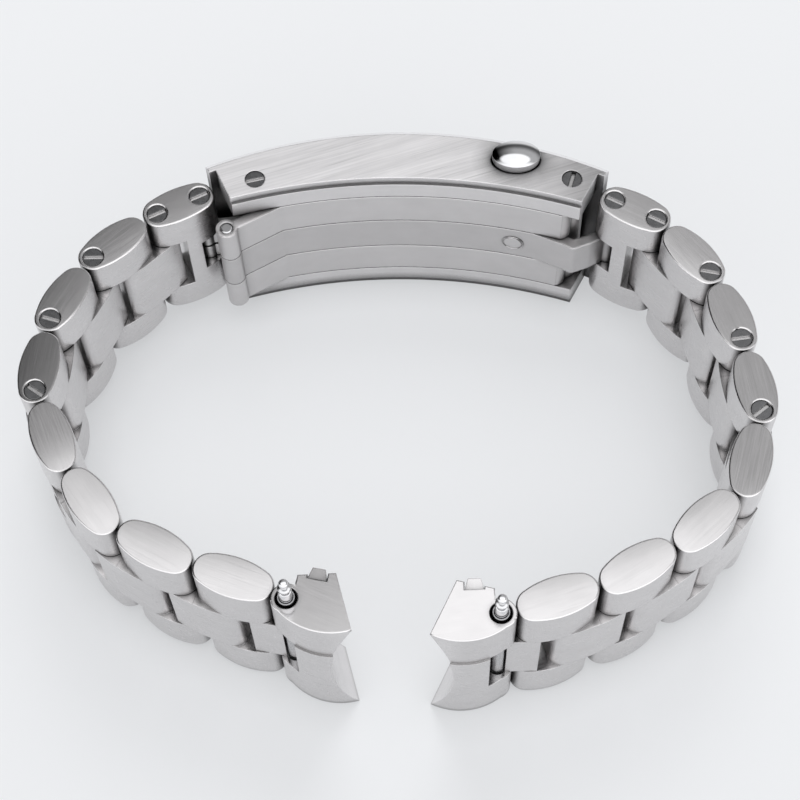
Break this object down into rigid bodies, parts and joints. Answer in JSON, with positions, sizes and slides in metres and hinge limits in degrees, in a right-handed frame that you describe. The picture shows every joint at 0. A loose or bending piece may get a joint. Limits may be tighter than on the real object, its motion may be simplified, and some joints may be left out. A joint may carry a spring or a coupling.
{
  "type": "watch bracelet",
  "caption": "Three-row steel watch bracelet with hinged links, curved end links with sprung bars, and a folding clasp opened by a button on each side.",
  "frame": {"origin": "middle of the bracelet's box in plan, at the height of the lower push-button's dome", "axes": "+Z along every hinge pin, across the bracelet's width; +Y from the end links to the clasp; +X along the clasp, to the right as seen from the end links"},
  "size_m": [0.0728, 0.0552, 0.0252],
  "materials": {
    "steel_satin": "satin",
    "steel_cover": "brushed lengthwise",
    "steel_blade": "fine brushed",
    "steel_screw": "satin, slotted",
    "steel_polished": "polished",
    "spring_steel": "drawn wire"
  },
  "bodies": {
    "cover": {"clasp_cover": "steel_cover", "catch_frame": "steel_blade", "tongue_screw": "steel_screw", "pivot_screw": "steel_screw", "button_spring_upper": "spring_steel", "button_spring_lower": "spring_steel"},
    "upper_button": {"button_upper": "steel_polished"},
    "lower_button": {"button_lower": "steel_polished"},
    "outer_blade": {"fork_blade": "steel_blade", "fold_pin": "steel_polished"},
    "inner_blade": {"centre_blade": "steel_blade", "catch_stud": "steel_polished"},
    "tongue": {"tongue": "steel_blade"},
    "left_clasp_link": {"left_clasp_link": "steel_satin", "left_near_screw": "steel_screw", "left_far_screw": "steel_screw"},
    "left_link_a": {"left_link_a": "steel_satin", "left_pin_a": "steel_screw"},
    "left_link_b": {"left_link_b": "steel_satin", "left_pin_b": "steel_screw"},
    "left_link_c": {"left_link_c": "steel_satin", "left_pin_c": "steel_screw"},
    "left_link_d": {"left_link_d": "steel_satin", "left_pin_d": "steel_screw"},
    "left_link_e": {"left_link_e": "steel_satin", "left_pin_e": "steel_screw"},
    "left_link_f": {"left_link_f": "steel_satin", "left_pin_f": "steel_screw"},
    "left_link_g": {"left_link_g": "steel_satin", "left_pin_g": "steel_screw"},
    "left_end": {"left_end_link": "steel_satin"},
    "left_bar": {"left_bar_tube": "spring_steel", "left_bar_spring": "spring_steel"},
    "left_nose_upper": {"left_nose_upper": "steel_polished"},
    "left_nose_lower": {"left_nose_lower": "steel_polished"},
    "right_clasp_link": {"right_clasp_link": "steel_satin", "right_near_screw": "steel_screw", "right_far_screw": "steel_screw"},
    "right_link_a": {"right_link_a": "steel_satin", "right_pin_a": "steel_screw"},
    "right_link_b": {"right_link_b": "steel_satin", "right_pin_b": "steel_screw"},
    "right_link_c": {"right_link_c": "steel_satin", "right_pin_c": "steel_screw"},
    "right_link_d": {"right_link_d": "steel_satin", "right_pin_d": "steel_screw"},
    "right_link_e": {"right_link_e": "steel_satin", "right_pin_e": "steel_screw"},
    "right_link_f": {"right_link_f": "steel_satin", "right_pin_f": "steel_screw"},
    "right_link_g": {"right_link_g": "steel_satin", "right_pin_g": "steel_screw"},
    "right_end": {"right_end_link": "steel_satin"},
    "right_bar": {"right_bar_tube": "spring_steel", "right_bar_spring": "spring_steel"},
    "right_nose_upper": {"right_nose_upper": "steel_polished"},
    "right_nose_lower": {"right_nose_lower": "steel_polished"}
  },
  "joints": [
    {"name": "upper_button_press", "type": "slide", "parent": "cover", "child": "upper_button", "axis": [0, 0, -1], "range_m": [0, 0.001], "stiffness_N_per_m": 1500, "springref_m": -0.001, "deforming": ["button_spring_upper"]},
    {"name": "lower_button_press", "type": "slide", "parent": "cover", "child": "lower_button", "axis": [0, 0, 1], "range_m": [0, 0.001], "stiffness_N_per_m": 1500, "springref_m": -0.001, "deforming": ["button_spring_lower"]},
    {"name": "clasp_open", "type": "hinge", "parent": "cover", "child": "outer_blade", "pos_m": [0.0172, 0.0216, 0.0115], "axis": [0, 0, 1], "range_deg": [0, 110]},
    {"name": "clasp_fold", "type": "hinge", "parent": "outer_blade", "child": "inner_blade", "pos_m": [-0.0175, 0.0173, 0.0115], "axis": [0, 0, -1], "range_deg": [0, 110]},
    {"name": "tongue_hinge", "type": "hinge", "parent": "cover", "child": "tongue", "pos_m": [-0.0146, 0.0212, 0.0115], "axis": [0, 0, -1], "range_deg": [-6, 5]},
    {"name": "left_clasp_link_hinge", "type": "hinge", "parent": "tongue", "child": "left_clasp_link", "pos_m": [-0.0204, 0.0205, 0.0115], "axis": [0, 0, -1], "range_deg": [-7, 20]},
    {"name": "left_link_a_hinge", "type": "hinge", "parent": "left_clasp_link", "child": "left_link_a", "pos_m": [-0.02451, 0.01831, 0.0115], "axis": [0, 0, -1], "range_deg": [-14, 22]},
    {"name": "left_link_b_hinge", "type": "hinge", "parent": "left_link_a", "child": "left_link_b", "pos_m": [-0.03046, 0.01296, 0.0115], "axis": [0, 0, -1], "range_deg": [-8, 30]},
    {"name": "left_link_c_hinge", "type": "hinge", "parent": "left_link_b", "child": "left_link_c", "pos_m": [-0.03397, 0.00577, 0.0115], "axis": [0, 0, -1], "range_deg": [-8, 30]},
    {"name": "left_link_d_hinge", "type": "hinge", "parent": "left_link_c", "child": "left_link_d", "pos_m": [-0.03452, -0.00221, 0.0115], "axis": [0, 0, -1], "range_deg": [-4, 36]},
    {"name": "left_link_e_hinge", "type": "hinge", "parent": "left_link_d", "child": "left_link_e", "pos_m": [-0.03127, -0.00952, 0.0115], "axis": [0, 0, -1], "range_deg": [-15, 21]},
    {"name": "left_link_f_hinge", "type": "hinge", "parent": "left_link_e", "child": "left_link_f", "pos_m": [-0.02646, -0.01591, 0.0115], "axis": [0, 0, -1], "range_deg": [-6, 33]},
    {"name": "left_link_g_hinge", "type": "hinge", "parent": "left_link_f", "child": "left_link_g", "pos_m": [-0.01939, -0.01966, 0.0115], "axis": [0, 0, -1], "range_deg": [-18, 17]},
    {"name": "left_end_hinge", "type": "hinge", "parent": "left_link_g", "child": "left_end", "pos_m": [-0.01183, -0.02227, 0.0115], "axis": [0, 0, -1], "range_deg": [-18, 17]},
    {"name": "left_bar_slide", "type": "slide", "parent": "left_end", "child": "left_bar", "axis": [0, 0, 1], "range_m": [-0.00185, 0]},
    {"name": "left_nose_upper_press", "type": "slide", "parent": "left_bar", "child": "left_nose_upper", "axis": [0, 0, -1], "range_m": [0, 0.0018], "stiffness_N_per_m": 1500, "springref_m": -0.001, "deforming": ["left_bar_spring"]},
    {"name": "left_nose_lower_press", "type": "slide", "parent": "left_bar", "child": "left_nose_lower", "axis": [0, 0, 1], "range_m": [0, 0.0018], "stiffness_N_per_m": 1500, "springref_m": -0.001, "deforming": ["left_bar_spring"]},
    {"name": "right_clasp_link_hinge", "type": "hinge", "parent": "inner_blade", "child": "right_clasp_link", "pos_m": [0.0216, 0.0205, 0.0115], "axis": [0, 0, -1], "range_deg": [-20, 7]},
    {"name": "right_link_a_hinge", "type": "hinge", "parent": "right_clasp_link", "child": "right_link_a", "pos_m": [0.02571, 0.01831, 0.0115], "axis": [0, 0, -1], "range_deg": [-31, 7.5]},
    {"name": "right_link_b_hinge", "type": "hinge", "parent": "right_link_a", "child": "right_link_b", "pos_m": [0.03075, 0.0121, 0.0115], "axis": [0, 0, -1], "range_deg": [-28, 10]},
    {"name": "right_link_c_hinge", "type": "hinge", "parent": "right_link_b", "child": "right_link_c", "pos_m": [0.03335, 0.00453, 0.0115], "axis": [0, 0, -1], "range_deg": [-17, 18]},
    {"name": "right_link_d_hinge", "type": "hinge", "parent": "right_link_c", "child": "right_link_d", "pos_m": [0.03474, -0.00335, 0.0115], "axis": [0, 0, -1], "range_deg": [-32, 7]},
    {"name": "right_link_e_hinge", "type": "hinge", "parent": "right_link_d", "child": "right_link_e", "pos_m": [0.03281, -0.01111, 0.0115], "axis": [0, 0, -1], "range_deg": [-39, 1.5]},
    {"name": "right_link_f_hinge", "type": "hinge", "parent": "right_link_e", "child": "right_link_f", "pos_m": [0.02715, -0.01677, 0.0115], "axis": [0, 0, -1], "range_deg": [-21, 15]},
    {"name": "right_link_g_hinge", "type": "hinge", "parent": "right_link_f", "child": "right_link_g", "pos_m": [0.02037, -0.02101, 0.0115], "axis": [0, 0, -1], "range_deg": [-20, 16]},
    {"name": "right_end_hinge", "type": "hinge", "parent": "right_link_g", "child": "right_end", "pos_m": [0.01285, -0.02374, 0.0115], "axis": [0, 0, -1], "range_deg": [-26, 11]},
    {"name": "right_bar_slide", "type": "slide", "parent": "right_end", "child": "right_bar", "axis": [0, 0, 1], "range_m": [-0.00185, 0]},
    {"name": "right_nose_upper_press", "type": "slide", "parent": "right_bar", "child": "right_nose_upper", "axis": [0, 0, -1], "range_m": [0, 0.0018], "stiffness_N_per_m": 1500, "springref_m": -0.001, "deforming": ["right_bar_spring"]},
    {"name": "right_nose_lower_press", "type": "slide", "parent": "right_bar", "child": "right_nose_lower", "axis": [0, 0, 1], "range_m": [0, 0.0018], "stiffness_N_per_m": 1500, "springref_m": -0.001, "deforming": ["right_bar_spring"]}
  ],
  "couplings": [
    {"joint": "clasp_fold", "follows": "clasp_open", "ratio": 1}
  ]
}
